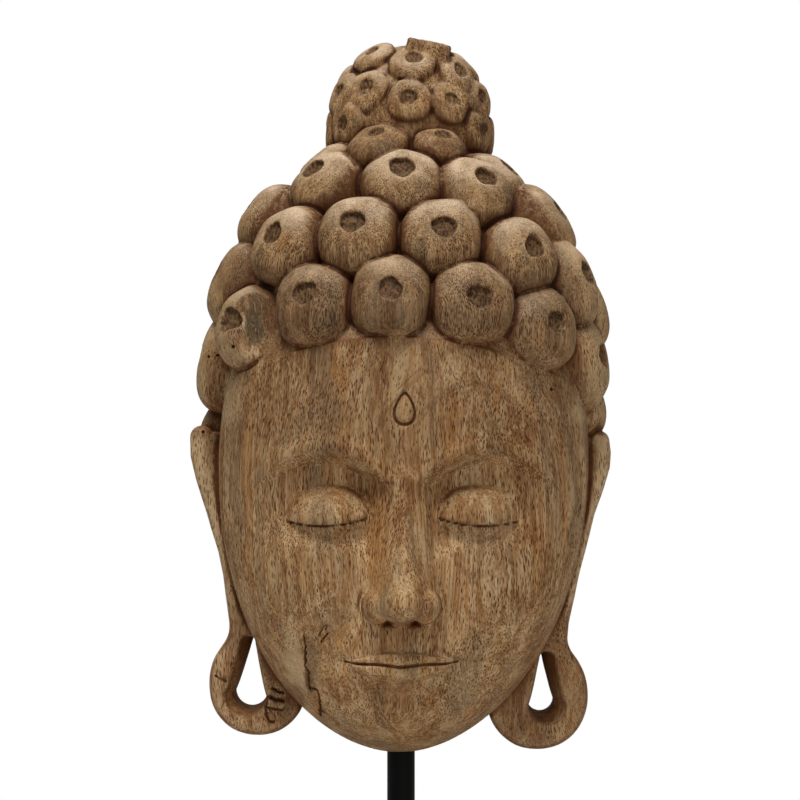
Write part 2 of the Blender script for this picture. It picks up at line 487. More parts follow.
def surface(F):
    """Points and four-sided faces of the zero level."""
    n = F.shape
    inside = F < 0
    count = np.zeros((n[0] - 1, n[1] - 1, n[2] - 1), np.uint8)
    for a, b, c in CORNERS:
        count += inside[a : n[0] - 1 + a, b : n[1] - 1 + b, c : n[2] - 1 + c]
    ci, cj, ck = np.nonzero((count > 0) & (count < 8))
    vals = np.stack([F[ci + a, cj + b, ck + c] for a, b, c in CORNERS], 1).astype(np.float64)
    pos = np.zeros((len(ci), 3))
    hits = np.zeros(len(ci))
    for p, q in EDGES:
        a, b = vals[:, p], vals[:, q]
        m = (a < 0) != (b < 0)
        t = np.where(m, a / np.where(m, a - b, 1), 0)
        for i in range(3):
            pos[:, i] += m * (CORNERS[p][i] + t * (CORNERS[q][i] - CORNERS[p][i]))
        hits += m
    pos /= hits[:, None]
    pos += np.stack([ci, cj, ck], 1)
    ids = np.full(count.shape, -1, np.int32)
    ids[ci, cj, ck] = np.arange(len(ci), dtype=np.int32)
    quads = []
    for axis in range(3):
        lo = [slice(1, n[i] - 1) for i in range(3)]
        hi = [slice(1, n[i] - 1) for i in range(3)]
        lo[axis], hi[axis] = slice(0, n[axis] - 1), slice(1, n[axis])
        a, b = inside[tuple(lo)], inside[tuple(hi)]
        where = np.argwhere(a != b)
        start = a[tuple(where.T)]
        base = where + np.array([0 if i == axis else 1 for i in range(3)])
        u, v = [(1, 2), (2, 0), (0, 1)][axis]
        du, dv = np.eye(3, dtype=int)[u], np.eye(3, dtype=int)[v]
        ring = [base - du - dv, base - dv, base, base - du]
        q = np.stack([ids[tuple(r.T)] for r in ring], 1)
        q[~start] = q[~start][:, ::-1]
        quads.append(q)
    quads = np.concatenate(quads)
    return pos * STEP + np.array((xs[0], ys[0], zs[0])), quads


def sample(F, p):
    """The field at points, between its grid values."""
    q = (p - np.array((xs[0], ys[0], zs[0]))) / STEP
    q = np.clip(q, 0, np.array(F.shape) - 1.001)
    i = q.astype(np.int64)
    f = q - i
    out = np.zeros(len(p))
    for a, b, c in CORNERS:
        w = (f[:, 0] if a else 1 - f[:, 0]) * (f[:, 1] if b else 1 - f[:, 1]) * (f[:, 2] if c else 1 - f[:, 2])
        out += w * F[i[:, 0] + a, i[:, 1] + b, i[:, 2] + c]
    return out


def mesh_of(name, points, faces):
    me = bpy.data.meshes.new(name)
    me.vertices.add(len(points))
    me.vertices.foreach_set("co", points.astype(np.float32).ravel())
    k = faces.shape[1]
    me.loops.add(faces.size)
    me.loops.foreach_set("vertex_index", faces.astype(np.int32).ravel())
    me.polygons.add(len(faces))
    me.polygons.foreach_set("loop_start", np.arange(0, faces.size, k, dtype=np.int32))
    me.polygons.foreach_set("loop_total", np.full(len(faces), k, np.int32))
    me.update(calc_edges=True)
    me.validate()
    return me


def points_of(me):
    co = np.zeros(len(me.vertices) * 3, np.float32)
    me.vertices.foreach_get("co", co)
    return co.reshape(-1, 3).astype(float)


def normals_of(me):
    no = np.zeros(len(me.vertices) * 3, np.float32)
    me.vertex_normals.foreach_get("vector", no)
    return no.reshape(-1, 3).astype(float)


def set_points(me, p):
    me.vertices.foreach_set("co", p.astype(np.float32).ravel())
    me.update()


def attribute(me, name, values):
    a = me.attributes.get(name) or me.attributes.new(name, "FLOAT", "POINT")
    a.data.foreach_set("value", values.astype(np.float32))


def decimate(o, triangles, part):
    """Fewer triangles among the points of this part only, until the mesh has so many in all."""
    now = sum(len(p.vertices) - 2 for p in o.data.polygons)
    if now <= triangles:
        return
    g = o.vertex_groups.new(name="part")
    g.add([int(i) for i in np.flatnonzero(part(points_of(o.data)))], 1.0, "REPLACE")
    m = o.modifiers.new("Reduce", "DECIMATE")
    m.ratio = triangles / now
    m.use_collapse_triangulate = True
    m.vertex_group = "part"
    graph = bpy.context.evaluated_depsgraph_get()
    me = bpy.data.meshes.new_from_object(o.evaluated_get(graph))
    o.modifiers.clear()
    o.data = me
    o.vertex_groups.clear()


def hidden(p):
    """Points on the back, in the hollow and in the bore."""
    cave = ellipsoid(p[:, 0], p[:, 1], p[:, 2], CAVITY_C, CAVITY_R)
    return (p[:, 1] > BACK_Y - 0.003) | (cave < 0.0025) | (np.hypot(p[:, 0], p[:, 1]) < ROD_RADIUS + 0.002)


def refine(me, near, rounds=3, longest=0.0006):
    """Cuts the long edges where near(points) says so, so that thin cracks have points to follow."""
    for _ in range(rounds):
        bm = bmesh.new()
        bm.from_mesh(me)
        bm.verts.ensure_lookup_table()
        long = [e for e in bm.edges if e.calc_length() > longest]
        ends = np.array([[v.co for v in e.verts] for e in long])
        edges = [e for e, on in zip(long, near(ends.mean(1)) | (near(ends[:, 0]) & near(ends[:, 1]))) if on]
        bmesh.ops.subdivide_edges(bm, edges=edges, cuts=1)
        bmesh.ops.triangulate(bm, faces=[f for f in bm.faces if len(f.verts) > 3])
        bm.to_mesh(me)
        bm.free()


def upright(p):
    q = p.copy()
    q[:, 0] -= LEAN * p[:, 2] + LEAN_X
    return q


def hair_state(p):
    """For points: how far down a curl's side each lies (1 at its foot, 0 on its face), its share of a pit, and the distance to the nearest curl."""
    q = upright(p)
    best, side, pit, rim = np.full(len(p), 0.02), np.zeros(len(p)), np.zeros(len(p)), np.zeros(len(p))
    for c in LARGE + SMALL:
        d = q - c.seat
        i = np.flatnonzero((d * d).sum(1) < (c.half * 1.35 + 0.010) ** 2)
        if not len(i):
            continue
        u, v, w = c.local(*q[i].T)
        f = np.abs(c.body(u, v, w))
        near = f < best[i]
        best[i] = np.where(near, f, best[i])
        side[i] = np.where(near, 1 - np.clip(w / c.thick, 0, 1), side[i])
        e = c.pit_edge(u, v)
        pit[i] = np.maximum(pit[i], (1 - ease((e + 0.0006) / 0.0012)) * (w > c.thick * 0.5) * (f < 0.006))
        rim[i] = np.maximum(rim[i], np.exp(-(((e - 0.0006) / 0.0009) ** 2)) * (w > c.thick * 0.5) * (f < 0.003))
    return best, side, pit, rim


def cells(p, size, seed):
    """Distance to the nearest of scattered points, in cells of that size (0 at a point, about 1 far from one)."""
    q = p / np.asarray(size, float) + seed * 7.7
    base = np.floor(q).astype(np.int64)
    best = np.full(len(p), 9.0)
    for a in (-1, 0, 1):
        for b in (-1, 0, 1):
            for c in (-1, 0, 1):
                k = base + (a, b, c)
                h = _perm[_perm[_perm[k[:, 0] & 255] + (k[:, 1] & 255)] + (k[:, 2] & 255)]
                t = k + 0.5 + 0.42 * _grad[h]
                best = np.minimum(best, ((q - t) ** 2).sum(1))
    return np.sqrt(best)


# cracks on the front, as (x, z) points in the picture's plane, with half width and depth; all in metres
def at(*pixels):
    """Points of the front view, given as steps of 1 mm across from the middle and up from the chin."""
    return [(x / 1000, z / 1000) for x, z in pixels]


CRACKS = (
    (at((-131.0, 53.0), (-129.1, 51.0), (-126.4, 50.7), (-124.2, 48.8)), 0.00045, 0.0014),
    (at((-91.2, 44.2), (-87.4, 42.2), (-82.8, 41.1)), 0.00055, 0.0017),
    (at((-92.7, 38.0), (-88.1, 36.1), (-83.5, 35.7)), 0.00078, 0.0022),
    (at((-96.2, 31.2), (-89.7, 29.6), (-82.7, 28.5)), 0.00048, 0.0016),
    (at((-94.6, 38.4), (-95.8, 32.3), (-95.4, 25.4), (-93.1, 20.1), (-90.5, 20.4)), 0.00055, 0.0018),
    (at((-67.0, 85.4), (-65.9, 77.6), (-66.6, 64.6), (-64.6, 60.0), (-63.9, 48.6)), 0.00046, 0.0015),
    (at((-63.9, 48.6), (-57.8, 47.9), (-56.2, 40.0), (-56.2, 28.7)), 0.00046, 0.0014),
    (at((-52.5, 93.5), (-55.2, 89.2), (-56.6, 86.2)), 0.00045, 0.0007),
    (at((-49.0, 94.5), (-52.0, 90.5)), 0.00045, 0.0007),
    (at((-50.2, 88.3), (-53.7, 84.0), (-55.0, 82.0)), 0.00050, 0.0011),
)
HOLES = ((-0.1165, 0.2855, 0.0011), (-0.1357, 0.2790, 0.0009), (-0.1290, 0.2800, 0.0009), (-0.1400, 0.2260, 0.0009), (0.1040, 0.2560, 0.0009))


def line_distance(x, z, points):
    best = np.full(len(x), 1.0)
    for (x0, z0), (x1, z1) in zip(points, points[1:]):
        dx, dz = x1 - x0, z1 - z0
        t = np.clip(((x - x0) * dx + (z - z0) * dz) / (dx * dx + dz * dz), 0, 1)
        best = np.minimum(best, np.hypot(x - x0 - t * dx, z - z0 - t * dz))
    return best


def face_lines(p):
    """The fine cut lines of the face, each as (distance, half width, depth, how dark): mark, mouth and lids."""
    q = upright(p)
    x, z = q[:, 0], q[:, 2]
    ax = np.abs(x)
    zz = (z - MARK_Z) / MARK_TALL
    ring = np.abs(np.hypot(x / (0.0066 * np.clip(1 - 0.42 * zz, 0.2, 1.5)), zz) - 1) * 0.0075
    m, line = mouth_line(ax)
    mouth = np.abs(z - line) + 0.004 * np.maximum(m - 1.0, 0) * 8
    s, shut = lid_line(ax)
    lids = np.abs(z - shut) + 0.004 * np.maximum(np.abs(s) - 0.96, 0) * 8
    return ((ring, 0.00055, 0.0012, 0.36), (mouth, 0.00055, 0.0011, 0.36), (lids, 0.00050, 0.0010, 0.32))


def shaken(p):
    """x and z of the front view, shaken a little so that cracks run raggedly."""
    return p[:, 0] + 0.0010 * noise(p, 0.0030, 21), p[:, 2] + 0.0010 * noise(p, 0.0030, 22)


def crack_state(p):
    """How deep each point is pushed in by a crack or a small hole, and how dark that is."""
    x, z = shaken(p)
    push, dark = np.zeros(len(p)), np.zeros(len(p))
    for points, half, deep in CRACKS:
        d = line_distance(x, z, points)
        push = np.maximum(push, deep * np.exp(-((d / (half * 1.15)) ** 2)))
        dark = np.maximum(dark, np.exp(-((d / (half * 1.3)) ** 2)))
    for hx, hz, r in HOLES:
        d = np.hypot(p[:, 0] - hx, p[:, 2] - hz)
        push = np.maximum(push, 0.0025 * (1 - ease((d - r * 0.7) / (r * 0.6))))
        dark = np.maximum(dark, 1 - ease((d - r * 0.8) / (r * 0.6)))
    wide = 1 + 0.35 * noise(p, 0.006, 23)
    for d, half, deep, tone in face_lines(p):
        push = np.maximum(push, deep * np.exp(-((d / half) ** 2)))
        dark = np.maximum(dark, tone * np.exp(-((d / (half * wide)) ** 2)))
    return push, dark


def patch(p, cx, cz, rx, rz, turn=0.0, soft=0.35, seed=31):
    """A ragged blot in the front view, 1 inside."""
    c, s = math.cos(turn), math.sin(turn)
    dx, dz = p[:, 0] - cx, p[:, 2] - cz
    d = np.hypot((c * dx + s * dz) / rx, (-s * dx + c * dz) / rz)
    return 1 - ease((d + 0.5 * noise(p, 0.008, seed) + 0.25 * noise(p, 0.003, seed + 1) - 1 + soft / 2) / soft)


def make_mask():
    F = build_field()
    p, q = surface(F)
    me = mesh_of("carved_mask", p, q)
    o = bpy.data.objects.new("carved_mask", me)
    bpy.context.scene.collection.objects.link(o)

    # hand-cut unevenness; the sawn back stays flat, curl sides are rougher, the hollow has gouge scallops
    no = normals_of(me)
    back = ease((BACK_Y - 0.003 - p[:, 1]) / 0.004)
    best, side, pit, rim = hair_state(p)
    curl = 1 - ease(best / 0.003)
    hair = (p[:, 2] > 0.215) & ((p[:, 1] > -0.070 + 0 * p[:, 2]) | (p[:, 2] > 0.300))
    ground = (1 - curl) * ease((p[:, 2] - 0.300) / 0.01)
    inside = ease((0.004 - ellipsoid(p[:, 0], p[:, 1], p[:, 2], CAVITY_C, CAVITY_R)) / 0.003)
    d = 0.0004 * noise(p, 0.030, 1) + 0.0002 * noise(p, 0.012, 2)
    walls = curl * ease((side - 0.25) / 0.5)
    d += 0.0007 * np.maximum(walls, ground) * noise(p, (0.0034, 0.0034, 0.016), 4)
    d += 0.0008 * ground * noise(p, 0.006, 5)
    d += pit * (0.0010 * noise(p, 0.0034, 6) + 0.0006 * noise(p, 0.0065, 7))
    d += inside * (0.0022 * (np.minimum(cells(p, (0.016, 0.016, 0.034), 3), 0.8) - 0.45))
    set_points(me, p + no * (d * back)[:, None])
    total = sum(len(f.vertices) - 2 for f in me.polygons)
    behind = hidden(points_of(me))
    corners = np.empty(len(me.loops), np.int32)
    me.loops.foreach_get("vertex_index", corners)
    share = behind[corners].mean()
    decimate(o, int(total * (1 - share)) + min(int(total * share), HIDDEN_TRIANGLES), hidden)
    decimate(o, TRIANGLES, lambda q: ~hidden(q))
    me = o.data

    # cracks, the split flake on the jaw and small holes
    def near_crack(c):
        x, z = shaken(c)
        on = np.zeros(len(c), bool)
        for points, half, _ in CRACKS:
            on |= line_distance(x, z, points) < half + 0.0017
        for hx, hz, r in HOLES:
            on |= np.hypot(c[:, 0] - hx, c[:, 2] - hz) < r + 0.0012
        for d, half, _, _ in face_lines(c):
            on |= (d < half + 0.0010) & (c[:, 1] < -0.04)
        return on & (c[:, 1] < 0.012)

    refine(me, near_crack)
    p, no = points_of(me), normals_of(me)
    front = (1 - ease((p[:, 1] - 0.006) / 0.006)) * ease((-no[:, 1] - 0.05) / 0.2)
    push, dark = crack_state(p)
    # the wood between the two jaw cracks has split away a little
    flake = patch(p, -0.0612, 0.0660, 0.0052, 0.0200, -0.06, 0.30, 33) * (p[:, 0] > -0.0670)
    shift = (push * front)[:, None] * -no
    shift += (0.0007 * flake * front)[:, None] * -no
    # one curl at the temple is worn to flat facets
    facet = patch(p, -0.1015, 0.2985, 0.0060, 0.0140, 0.05, 0.22, 51)
    shift += (0.0016 * facet * front)[:, None] * -no
    set_points(me, p + shift)
    p, no = points_of(me), normals_of(me)

    # how shut in each point is, near and wide, and how far it stands out
    near, wide, ridge = np.zeros(len(p)), np.zeros(len(p)), np.zeros(len(p))
    for dist in (0.0015, 0.003, 0.005):
        near += np.clip(1 - sample(F, p + no * dist) / dist, 0, 1.5) / 3
    for dist in (0.009, 0.015, 0.024):
        wide += np.clip(1 - sample(F, p + no * dist) / dist, 0, 1.5) / 3
    for dist in (0.0025, 0.005):
        ridge += np.clip(1 + sample(F, p - no * dist) / dist, 0, 1.0) / 2
    ear = ease((np.abs(upright(p)[:, 0]) - half_width(p[:, 2]) - 0.001) / 0.003) * ease((0.226 - p[:, 2]) / 0.006) * ease((p[:, 2] - 0.075) / 0.04)
    attribute(me, "near", near * (1 - 0.35 * ear) * (1 - facet))
    attribute(me, "wide", wide * (1 - 0.60 * ear) * (1 - facet))
    outer = ease((np.abs(upright(p)[:, 0]) - 0.108) / 0.014) * ease((np.abs(no[:, 0]) - 0.30) / 0.40) * ease((p[:, 2] - 0.228) / 0.010)
    light = np.maximum(ear * np.where(p[:, 0] < 0, 0.50, 0.34) * ease((-no[:, 1] - 0.1) / 0.4), 0.42 * outer)
    light = np.maximum(light, 0.55 * patch(p, -0.1060, 0.2800, 0.0090, 0.0050, 0.15, 0.4, 63))
    light = np.maximum(light, 0.50 * patch(p, -0.0740, 0.0640, 0.0068, 0.0280, 0.12, 0.5, 71) * (p[:, 1] < 0.0))
    attribute(me, "bleach", light * (1 - facet))
    attribute(me, "ridge", ridge)
    crown = np.zeros(len(p))
    for c in LARGE[-2:]:
        crown = np.maximum(crown, (((upright(p) - c.seat) ** 2).sum(1) < (c.half * 1.15) ** 2) * ease((0.010 - p[:, 1]) / 0.006))
    attribute(me, "top", ease((no[:, 2] - 0.25) / 0.60) * (1 - 0.8 * crown))

    best, side, pit, rim = hair_state(p)
    curl = 1 - ease(best / 0.0025)
    in_front = 1 - ease((p[:, 1] - 0.020) / 0.008)
    knot = ease((p[:, 2] - 0.425) / 0.010)
    ground = (1 - curl) * np.maximum(ease((p[:, 2] - 0.305) / 0.008), ease((p[:, 2] - 0.222) / 0.004) * ease((np.abs(p[:, 0]) - 0.1325) / 0.002)) * in_front
    wall = curl * ease((side - 0.26) / 0.30) * (1 - pit)
    wall = np.maximum(wall * (1 - 0.85 * outer) * (1 - facet), 0.62 * crown)  # the two crown curls are browner all over
    attribute(me, "wall", np.maximum(wall * (1 - 0.35 * knot), ground * (1 - facet) * (0.9 - 0.25 * knot)))
    attribute(me, "pit", pit)
    attribute(me, "rim", rim * (1 - pit))

    # stains by place: the scorched patch and the cracks of the left loop, the trough of each ear, the hole walls
    burnt = patch(p, -0.0735, 0.0410, 0.0075, 0.0095, 0.3, 0.5) * 0.9
    burnt = np.maximum(burnt, 0.65 * patch(p, -0.0830, 0.0360, 0.0075, 0.0030, 0.1, 0.6, 35))
    burnt = np.maximum(burnt, 0.70 * patch(p, -0.1170, 0.0340, 0.0045, 0.0120, -0.25, 0.7, 37))
    burnt = np.maximum(burnt, 0.50 * patch(p, -0.0985, 0.0240, 0.0140, 0.0040, -0.1, 0.7, 39))
    burnt = np.maximum(burnt, 0.68 * patch(p, -0.1215, 0.3400, 0.0070, 0.0200, -0.35, 0.7, 65))
    burnt = np.maximum(burnt, 0.62 * patch(p, -0.1335, 0.2660, 0.0045, 0.0240, 0.05, 0.7, 67))
    burnt = np.maximum(burnt, 0.55 * patch(p, 0.1215, 0.2640, 0.0040, 0.0220, -0.15, 0.7, 69))
    burnt *= in_front
    trough = np.zeros(len(p))
    for sgn, strip, _, _, _ in EARS:
        edge = np.interp(p[:, 2], [c[1] for c in strip], [abs(c[0]) + c[2] for c in strip])
        inward = edge - sgn * p[:, 0]
        high = ease((p[:, 2] - 0.150) / 0.050)
        on = ease((inward - (0.0085 if sgn < 0 else 0.0062) - 0.001 * high) / 0.0035) * ease((p[:, 2] - 0.085) / 0.030) * (sgn * p[:, 0] > 0.08) * ease((p[:, 1] + 0.006) / 0.006)
        trough = np.maximum(trough, on * (0.30 + 0.20 * high) * (p[:, 2] < strip[-1][1] + 0.002))
    lobes, holes = np.zeros(len(p)), np.zeros(len(p))
    for sgn, _, _, (low, point), (sx, sz) in EARS:
        lobes = np.maximum(lobes, ease((sgn * p[:, 0] - 0.062 - 0.35 * (p[:, 2] - 0.02)) / 0.008) * ease((0.112 - p[:, 2]) / 0.03))
        t = ease((0.016 - p[:, 1]) / 0.018)
        px, pz = p[:, 0] - sx * t, p[:, 2] - sz * t
        dx, dz = point[0] - low[0], point[1] - low[1]
        s = np.clip(((px - low[0]) * dx + (pz - low[1]) * dz) / (dx * dx + dz * dz), 0, 1)
        away = np.hypot(px - low[0] - s * dx, pz - low[1] - s * dz) - low[2] - (point[2] - low[2]) * s**0.85 - 0.0038 * t
        holes = np.maximum(holes, ease((0.0022 - away) / 0.0016) * ease((p[:, 1] + 0.001) / 0.003))
    lobes *= np.where(p[:, 0] < 0, 0.10, 0.34) + 0.25 * noise(p, 0.010, 61)
    up = upright(p)
    lobes = np.maximum(lobes, 0.62 * patch(p, 0.004, 0.198, 0.0085, 0.030, 0.0, 0.9, 53) * (p[:, 1] < -0.05))
    lobes = np.maximum(lobes, 0.45 * patch(p, 0.0, 0.090, 0.0130, 0.0090, 0.0, 0.8, 55) * (p[:, 1] < -0.05))
    lobes = np.maximum(lobes, 0.36 * patch(p, 0.002, 0.040, 0.0280, 0.0150, 0.0, 0.9, 57) * (p[:, 1] < -0.05))
    lobes = np.maximum(lobes, 0.75 * np.exp(-(((up[:, 2] - hairline(up[:, 0])) / 0.0009) ** 2)) * (1 - curl) * (np.abs(up[:, 0]) < 0.075) * (p[:, 1] < -0.02))
    attribute(me, "stain", np.clip(np.maximum(np.maximum(burnt, holes * 0.85), np.maximum(trough * 0.8, lobes)) * in_front, 0, 1))
    attribute(me, "crack", np.clip(dark * front, 0, 1))
    grey = np.clip(flake + 1.5 * facet + 0.8 * patch(p, -0.0650, 0.2350, 0.030, 0.006, 0.75, 0.8, 41) + 0.5 * patch(p, 0.062, 0.1500, 0.020, 0.030, 0.2, 0.8, 43), 0, 1.6)
    attribute(me, "grey", grey * front)
    warm = np.clip(0.9 * patch(p, -0.0585, 0.0385, 0.0030, 0.0100, 0.0, 0.4, 45) + patch(p, -0.0820, 0.3600, 0.0040, 0.0060, 0.0, 0.8, 47) + 0.8 * patch(p, -0.0160, 0.1450, 0.008, 0.030, 0.0, 0.9, 49), 0, 1)
    attribute(me, "warm", warm * front)
    p[:, 2] += CHIN_Z
    set_points(me, p)
    me.shade_smooth()
    return o


# ---------------------------------------------------------------- materials
class Nodes:
    """A short way to write a shader's nodes."""

    def __init__(self, name):
        self.mat = bpy.data.materials.new(name)
        self.mat.use_nodes = True
        self.t = self.mat.node_tree
        self.bsdf = self.t.nodes["Principled BSDF"]
        self.mat.diffuse_color = (0.4, 0.28, 0.17, 1)

    def put(self, sock, value):
        if isinstance(value, bpy.types.NodeSocket):
            self.t.links.new(value, sock)
        elif value is not None:
            sock.default_value = value

    def node(self, kind, inputs=(), **props):
        n = self.t.nodes.new(kind)
        for k, v in props.items():
            setattr(n, k, v)
        for k, v in dict(inputs).items():
            self.put(n.inputs[k], v)
        return n

    def math(self, op, a, b=None, c=None, clamp=False):
        n = self.node("ShaderNodeMath", operation=op, use_clamp=clamp)
        for i, v in enumerate((a, b, c)):
            self.put(n.inputs[i], v)
        return n.outputs[0]

    def attr(self, name):
        return self.node("ShaderNodeAttribute", attribute_name=name).outputs["Fac"]

    def map(self, vec, scale=(1, 1, 1), loc=(0, 0, 0)):
        return self.node("ShaderNodeMapping", {"Vector": vec, "Scale": scale, "Location": loc}).outputs[0]

    def noise(self, vec, scale=1.0, detail=2.0, rough=0.5, dist=0.0):
        return self.node("ShaderNodeTexNoise", {"Vector": vec, "Scale": scale, "Detail": detail, "Roughness": rough, "Distortion": dist}).outputs["Fac"]

    def voronoi(self, vec, scale=1.0, rand=1.0, feature="F1", out="Distance"):
        return self.node("ShaderNodeTexVoronoi", {"Vector": vec, "Scale": scale, "Randomness": rand}, feature=feature).outputs[out]

    def ramp(self, fac, stops, mode="LINEAR"):
        n = self.node("ShaderNodeValToRGB", {"Fac": fac})
        n.color_ramp.interpolation = mode
        e = n.color_ramp.elements
        while len(e) < len(stops):
            e.new(0.5)
        for k, (pos, col) in enumerate(stops):
            e[k].position = pos
            e[k].color = (*col, 1) if len(col) == 3 else col
        return n.outputs["Color"]

    def step(self, v, lo, hi, a=0.0, b=1.0):
        n = self.node("ShaderNodeMapRange", interpolation_type="SMOOTHSTEP")
        for i, x in enumerate((v, lo, hi, a, b)):
            self.put(n.inputs[i], x)
        return n.outputs[0]

    def mix(self, fac, a, b, mode="MIX"):
        n = self.node("ShaderNodeMix", data_type="RGBA", blend_type=mode)
        self.put(n.inputs["Factor"], fac)
        self.put(n.inputs[6], (*a, 1) if isinstance(a, tuple) else a)
        self.put(n.inputs[7], (*b, 1) if isinstance(b, tuple) else b)
        return n.outputs[2]


def wood_material():
    m = Nodes("weathered_carved_wood")
    co = m.node("ShaderNodeTexCoord").outputs["Object"]
    x, y, z = m.node("ShaderNodeSeparateXYZ", {"Vector": co}).outputs
    near, wide, ridge, top = m.attr("near"), m.attr("wide"), m.attr("ridge"), m.attr("top")
    pit, rim, wall = m.attr("pit"), m.attr("rim"), m.attr("wall")
    stain, crack, grey, warm, bleach = m.attr("stain"), m.attr("crack"), m.attr("grey"), m.attr("warm"), m.attr("bleach")
    brow = m.step(z, CHIN_Z + 0.170, CHIN_Z + 0.255)  # 0 on the lower face, 1 from the forehead up
    hair = m.step(z, CHIN_Z + 0.285, CHIN_Z + 0.300)

    # the log's own waviness; its grain leans forward at the brow and back at the chin
    w1 = m.noise(m.map(co, (11, 11, 6.0)), 1.0, 2.0, 0.4)
    w2 = m.noise(m.map(co, (11, 11, 6.0), (3.1, 7.7, 1.3)), 1.0, 2.0, 0.4)
    bx = m.math("MULTIPLY_ADD", m.math("SUBTRACT", w1, 0.5), 0.034, x)
    by = m.math("MULTIPLY_ADD", m.math("SUBTRACT", w2, 0.5), 0.044, y)
    zc = m.math("SUBTRACT", z, 0.275)
    by = m.math("MULTIPLY_ADD", m.math("MULTIPLY", zc, zc), m.step(z, 0.36, 0.46, 1.25, 0.75), by)
    wav = m.node("ShaderNodeCombineXYZ", {"X": bx, "Y": by, "Z": z}).outputs[0]

    # growth rings round a heart that lies behind the mask
    rx = m.math("SUBTRACT", bx, 0.022)
    ry = m.math("SUBTRACT", by, 0.090)
    rad = m.math("SQRT", m.math("ADD", m.math("MULTIPLY", rx, rx), m.math("MULTIPLY", ry, ry)))
    broad = m.noise(m.node("ShaderNodeCombineXYZ", {"X": m.math("MULTIPLY", rad, 120.0), "Y": m.math("MULTIPLY", z, 2.0), "Z": 0.0}).outputs[0], 1.0, 3.0, 0.6)
    fine = m.noise(m.node("ShaderNodeCombineXYZ", {"X": m.math("MULTIPLY", rad, 700.0), "Y": m.math("MULTIPLY", z, 4.0), "Z": 3.0}).outputs[0], 1.0, 2.0, 0.55)
    base = m.ramp(broad, [(0.28, (0.252, 0.122, 0.045)), (0.40, (0.414, 0.218, 0.086)), (0.50, (0.538, 0.303, 0.126)), (0.60, (0.392, 0.218, 0.088)), (0.72, (0.560, 0.309, 0.122))])
    base = m.mix(m.step(fine, 0.34, 0.54, 0.62, 0.0), base, (0.146, 0.066, 0.024))

    # long light and dark streaks down the grain
    streak = m.noise(m.map(wav, (95, 95, 2.4), (0.0, 0.0, 2.2)), 1.0, 3.0, 0.60)
    base = m.mix(m.step(streak, 0.50, 0.62, 0.0, 0.55), base, (0.661, 0.400, 0.184))
    base = m.mix(m.step(streak, 0.36, 0.48, 0.62, 0.0), base, (0.168, 0.080, 0.031))
    stripe = m.noise(m.map(wav, (330, 330, 4.0), (0.4, 0.9, 1.2)), 1.0, 3.0, 0.60)
    base = m.mix(m.step(stripe, 0.50, 0.64, 0.0, 0.50), base, (0.683, 0.427, 0.207))
    base = m.mix(m.step(stripe, 0.32, 0.48, 0.58, 0.0), base, (0.151, 0.074, 0.030))

    # weathered grey-olive, and warmer brown where it is less so
    area = m.noise(m.map(wav, (50, 50, 4), (1.7, 0.3, 5.0)), 1.0, 4.0, 0.60)
    base = m.mix(m.math("MAXIMUM", m.step(area, 0.50, 0.62, 0.0, 0.50), m.math("MULTIPLY", grey, 0.62)), base, (0.232, 0.182, 0.098))
    base = m.mix(m.step(grey, 1.1, 1.5, 0.0, 0.62), base, (0.098, 0.072, 0.038))
    hot = m.noise(m.map(wav, (95, 95, 3), (8.7, 2.3, 0.4)), 1.0, 3.0, 0.55)
    base = m.mix(m.math("MAXIMUM", m.math("MULTIPLY", m.step(hot, 0.55, 0.70, 0.0, 0.55), m.step(hair, 0.0, 1.0, 1.0, 0.45)), m.math("MULTIPLY", warm, 0.75)), base, (0.448, 0.196, 0.061))

    # the figure of the flat-cut rings sweeps in arcs over the forehead and the cheeks
    ax = m.math("SUBTRACT", bx, 0.050)
    az = m.math("MULTIPLY", m.math("SUBTRACT", z, CHIN_Z + 0.165), 0.62)
    arc = m.math("SQRT", m.math("ADD", m.math("MULTIPLY", ax, ax), m.math("MULTIPLY", az, az)))
    arcs = m.noise(m.node("ShaderNodeCombineXYZ", {"X": m.math("MULTIPLY", arc, 210.0), "Y": m.math("MULTIPLY", z, 6.0), "Z": 1.0}).outputs[0], 1.0, 3.0, 0.6)
    base = m.mix(m.math("MULTIPLY", m.step(arcs, 0.36, 0.48, 0.44, 0.0), m.step(hair, 0.0, 1.0, 1.0, 0.3)), base, (0.176, 0.108, 0.050))

    # the upper half has kept a darker, duller skin
    base = m.mix(m.math("MULTIPLY", brow, m.step(z, CHIN_Z + 0.425, CHIN_Z + 0.440, 1.0, 0.35)), base, (0.72, 0.74, 0.76), "MULTIPLY")
    base = m.mix(m.math("MULTIPLY", hair, m.step(z, CHIN_Z + 0.325, CHIN_Z + 0.350, 1.0, 0.0)), base, (0.69, 0.69, 0.71), "MULTIPLY")

    # fibres
    fib = m.noise(m.map(wav, (1000, 1000, 26)), 1.0, 2.0, 0.60)
    base = m.mix(m.step(fib, 0.28, 0.50, 0.60, 0.0), base, (0.100, 0.045, 0.017))
    base = m.mix(m.step(fib, 0.54, 0.76, 0.0, 0.30), base, (0.740, 0.480, 0.245))

